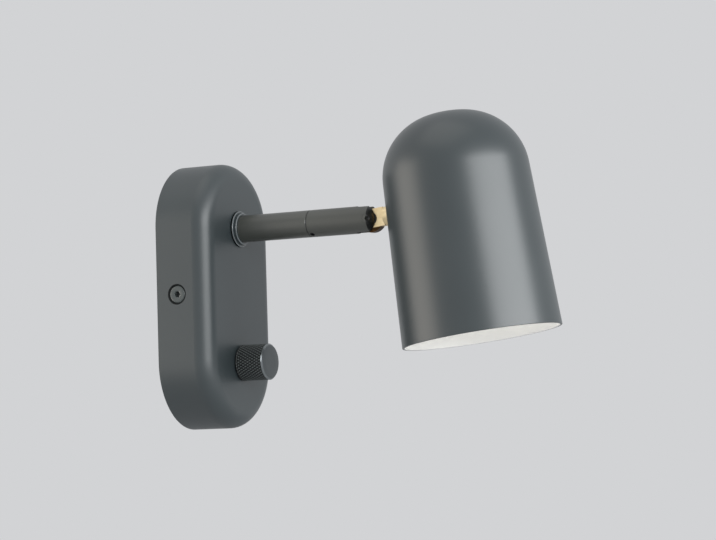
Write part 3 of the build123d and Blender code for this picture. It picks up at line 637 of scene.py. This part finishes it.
side_rows = 92
side = np.linspace(knob_front - front_chamfer, knob_rear + rear_chamfer, side_rows)
hollow_floor = 36.0 * mm
hollow_radius = 7.7 * mm
bore_radius = 3.05 * mm
bore_end = 43.05 * mm
face_radius = knob_outer - front_chamfer
radii = np.concatenate(
    [
        [face_radius * 0.5, face_radius - 0.1 * mm, face_radius],
        np.full(side_rows, knob_outer),
        [knob_outer - rear_chamfer, hollow_radius, hollow_radius, bore_radius, bore_radius],
    ]
)
outs = np.concatenate(
    [
        [knob_front, knob_front, knob_front - 0.03 * mm],
        side,
        [knob_rear, knob_rear, hollow_floor, hollow_floor, bore_end],
    ]
)
across, above, out = swung(radii, outs, knob_columns)
turns = np.arange(knob_columns) / knob_columns
fade = np.clip(np.minimum(side - side[-1], side[0] - side) / knurl_fade, 0, 1)
dip = knurl_depth * (1 - knurl_height(turns[None, :], side[:, None])) * fade[:, None]
share = 1 - dip / knob_outer
face_rows = 3
across[face_rows : face_rows + side_rows] *= share
above[face_rows : face_rows + side_rows] *= share
knob_grid = np.stack([across, -out, knob_place + above], axis=-1)
knurled_knob = skin("knurled_knob", [knob_grid], sharp=30.0)
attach(knurled_knob, "knob")
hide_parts("knob")

# %% [markdown]
# The knurl has painted light and shade: its grooves, and its tips near the rear, are painted
# dark as shade, the other tips paler as a highlight, and the turned chamfer at the front gets a
# paler, half-metallic coat as a painted highlight. The distance from the knob's axis tells grooves
# from tips, and the distance along it finds the chamfer.


# %% Knob finish, with painted light and shade
def knurl_with_painted_light_and_shade(name):
    """Slate with painted shade in the grooves and at the rear, and painted highlights on tips and
    chamfer.
    """
    paint = Paint(name, Specular_IOR_Level=0.9)
    across, along, up = paint.axes()
    height = up - knob_place
    radius = (across * across + height * height) ** 0.5
    # tips lighter: a painted highlight
    tips = radius.step(knob_outer - 0.85 * knurl_depth, knob_outer - 0.15 * knurl_depth)
    front = (-knob_front + 0.02 * mm - along).step(-front_chamfer, -front_chamfer + 0.05 * mm)
    rim = front * radius.step(face_radius - 0.02 * mm, face_radius + 0.02 * mm)
    side = 1.0 - front
    # near the rear the tips take the groove colour: painted shadow by the base
    rear = (along + knob_rear + 0.7 * mm).step(0.0, 0.2 * mm)
    shown_tips = tips * (1.0 - rear)
    # grooves dark as painted shade, tips pale as a painted highlight
    grooves = paint.blend(shown_tips, colour(10, 12, 12), colour(92, 99, 98))
    plain = paint.blend(paint.noise(10.0 * mm, 1.0), slate_dark, slate_light)
    # paler chamfer colour: a painted highlight
    chamfer_painted_highlight = paint.blend(paint.noise(2.0 * mm), colour(112, 118, 120), colour(136, 141, 143))
    paint.feed("Base Color", paint.blend(rim, paint.blend(side, plain, grooves), chamfer_painted_highlight))
    paint.feed("Metallic", side * (1.0 - shown_tips) * 0.6 + rim * 0.5)
    paint.feed("Roughness", paint.noise(0.4 * mm) * 0.06 + 0.37 - rim * 0.22)
    paint.feed("Normal", paint.bump(paint.noise(peel_size), 0.5, 0.01 * mm))
    return paint


dress(knurl_with_painted_light_and_shade("knurled_slate_painted_light_and_shade"), "knurled_knob")

# %% [markdown]
# ## The side screws
# A socket screw holds the cover on each side. Its head has a flat face, a rounded edge that
# catches the light and a hexagonal socket. Each screw is a profile swung round the screw's own
# axis, and where the profile passes the socket, the radius follows a hexagon instead.

# %% Socket screws
screw_side = 35.0 * mm
face_depth = 0.3 * mm
edge_round = 0.9 * mm
edge_radius = 3.75 * mm
shank_radius = 2.5 * mm
shank_end = 12.6 * mm
socket_half = 1.5 * mm
socket_depth = 3.1 * mm
bend = np.radians(np.linspace(0, 62, 11))
edge_radii = edge_radius + edge_round * np.sin(bend)
edge_depths = face_depth + edge_round * (1 - np.cos(bend))
cone_end = edge_depths[-1] + edge_radii[-1] - shank_radius
socket_mouth = 1.9 * mm
mouth_radii = [socket_half, socket_half, socket_mouth, 2.1 * mm]
screw_radii = np.concatenate([mouth_radii, edge_radii])
screw_radii = np.append(screw_radii, [shank_radius, shank_radius, 2.0 * mm])
mouth_depths = [face_depth + 0.2 * mm, face_depth + 0.02 * mm, face_depth]
screw_depths = np.concatenate([[socket_depth], mouth_depths, edge_depths])
screw_depths = np.append(screw_depths, [cone_end, shank_end - 0.5 * mm, shank_end])
screw_columns = 96
corner = np.linspace(0, 2 * np.pi, screw_columns, endpoint=False) % (np.pi / 3) - np.pi / 6
hexagon = 1 / np.cos(corner)


def screw_grid(side):
    """Rows of points round the screw's axis, which runs into the cover from one side."""
    across, up, depth = swung(screw_radii, screw_depths, screw_columns)
    across[:2] *= hexagon
    up[:2] *= hexagon
    return np.stack([side * (screw_side - depth), -screw_out + across * side, up], axis=-1)


socket_screws = skin("socket_screws", [screw_grid(-1), screw_grid(1)], sharp=30.0)
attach(socket_screws, "base")
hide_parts("cover_screws")
screw_dark = colour(72, 80, 79)
screw_light = colour(82, 89, 88)
screw_coat = powder_coat("screw_slate", screw_dark, screw_light, rough=0.24, gloss=0.9)
dress(screw_coat, "socket_screws")

# %% [markdown]
# ## The bulb
# The globe is opal glass: white all through, with a soft gloss, and it glows a little so that
# the enamel round it reads as white.

# %% Opal globe
opal = Paint("opal_glass", Metallic=0.0, Emission_Strength=1.0)
milky = opal.blend(opal.noise(20.0 * mm, 1.0), colour(240, 240, 236), colour(250, 250, 247))
glow = opal.blend(opal.noise(30.0 * mm, 1.0), colour(250, 246, 236), colour(255, 252, 244))
opal.feed("Base Color", milky)
opal.feed("Emission Color", glow)
opal.feed("Roughness", opal.noise(4.0 * mm, 1.0) * 0.06 + 0.22)
dress(opal, "bulb_globe")

# %% [markdown]
# ## Floor, background and light
# The lamp hangs in front of a plain pale grey. A pale floor lies well below it. It is only 1.6 m
# wide, so that it ends well before the key light.

# %% Floor
floor_half = 0.8
floor_height = -0.32
floor_mesh = bpy.data.meshes.new("floor")
corners = np.array([(-1, -1), (1, -1), (1, 1), (-1, 1)]) * floor_half
floor_points = np.column_stack([corners, np.full(4, floor_height)])
floor_mesh.from_pydata(floor_points.tolist(), [], [(0, 1, 2, 3)])
floor = bpy.data.objects.new("floor", floor_mesh)
bpy.context.scene.collection.objects.link(floor)
floor_paint = Paint("pale_floor", Roughness=0.9)
clouds = floor_paint.noise(0.3, 1.0)
pale_grey = floor_paint.blend(clouds, colour(206, 207, 209), colour(212, 213, 215))
floor_paint.feed("Base Color", pale_grey)
floor_mesh.materials.append(floor_paint.material)

# %% [markdown]
# The pale background is what the camera, reflections and rays through glass see. Matt surfaces
# are lit by a fill of half its strength, so that the brightness behind the lamp and the light on
# it are set apart from each other.

# %% World
backdrop = colour(210, 211, 213)
world = bpy.data.worlds.new("studio")
bpy.context.scene.world = world
world.use_nodes = True
tree = world.node_tree
tree.nodes.clear()
rays = tree.nodes.new("ShaderNodeLightPath")
seen = tree.nodes.new("ShaderNodeBackground")
seen.inputs["Color"].default_value = backdrop
seen.inputs["Strength"].default_value = 1.0
fill = tree.nodes.new("ShaderNodeBackground")
fill.inputs["Color"].default_value = colour(214, 216, 220)
fill.inputs["Strength"].default_value = 0.5
choice = tree.nodes.new("ShaderNodeMixShader")
surface = tree.nodes.new("ShaderNodeOutputWorld")
glossy_or_glass = tree.nodes.new("ShaderNodeMath")
glossy_or_glass.operation = "MAXIMUM"
tree.links.new(rays.outputs["Is Glossy Ray"], glossy_or_glass.inputs[0])
tree.links.new(rays.outputs["Is Transmission Ray"], glossy_or_glass.inputs[1])
shown = tree.nodes.new("ShaderNodeMath")
shown.operation = "MAXIMUM"
tree.links.new(rays.outputs["Is Camera Ray"], shown.inputs[0])
tree.links.new(glossy_or_glass.outputs["Value"], shown.inputs[1])
tree.links.new(shown.outputs["Value"], choice.inputs["Fac"])
tree.links.new(fill.outputs["Background"], choice.inputs[1])
tree.links.new(seen.outputs["Background"], choice.inputs[2])
tree.links.new(choice.outputs["Shader"], surface.inputs["Surface"])
print("background:", [round(part, 3) for part in backdrop[:3]])

# %% [markdown]
# Three soft boxes light the lamp. The key is large, a little above and on the right of the
# camera, and draws the long bright band down the shade. A weak one hangs above, and a warm one
# stands behind on the left and lights the side of the base. All the light together is a little
# above a plain level: a matt grey card that faces the key, a tenth of a metre in front of the
# shade, renders about 1.2 times as bright as its colour is written.


# %% Soft boxes
def soft_box(name, towards, distance, size, power, tint, aim=(0, -0.1, 0.0)):
    """Rectangular area light of size (width, height) at a distance from aim, facing it."""
    data = bpy.data.lights.new(name, "AREA")
    data.color = tint
    data.shape = "RECTANGLE"
    data.size, data.size_y = size
    data.energy = power
    lamp = bpy.data.objects.new(name, data)
    direction = Vector(towards).normalized()
    lamp.location = Vector(aim) + direction * distance
    lamp.rotation_euler = direction.to_track_quat("Z", "Y").to_euler()
    bpy.context.scene.collection.objects.link(lamp)
    print(name, "power:", power, "size:", size)


cool = (0.97, 0.99, 1.0)
warm = (1.0, 0.97, 0.92)
warmer = (1.0, 0.93, 0.83)
soft_box("key_box", (-0.23, -0.97, 0.25), distance=2.6, size=(3.38, 1.14), power=63.0, tint=cool)
soft_box("top_box", (-0.3, 0.1, 1.0), distance=1.6, size=(1.4, 1.4), power=3.0, tint=warm)
soft_box("left_box", (-0.5, 0.85, 0.0), distance=1.8, size=(1.3, 1.5), power=10.5, tint=warmer)
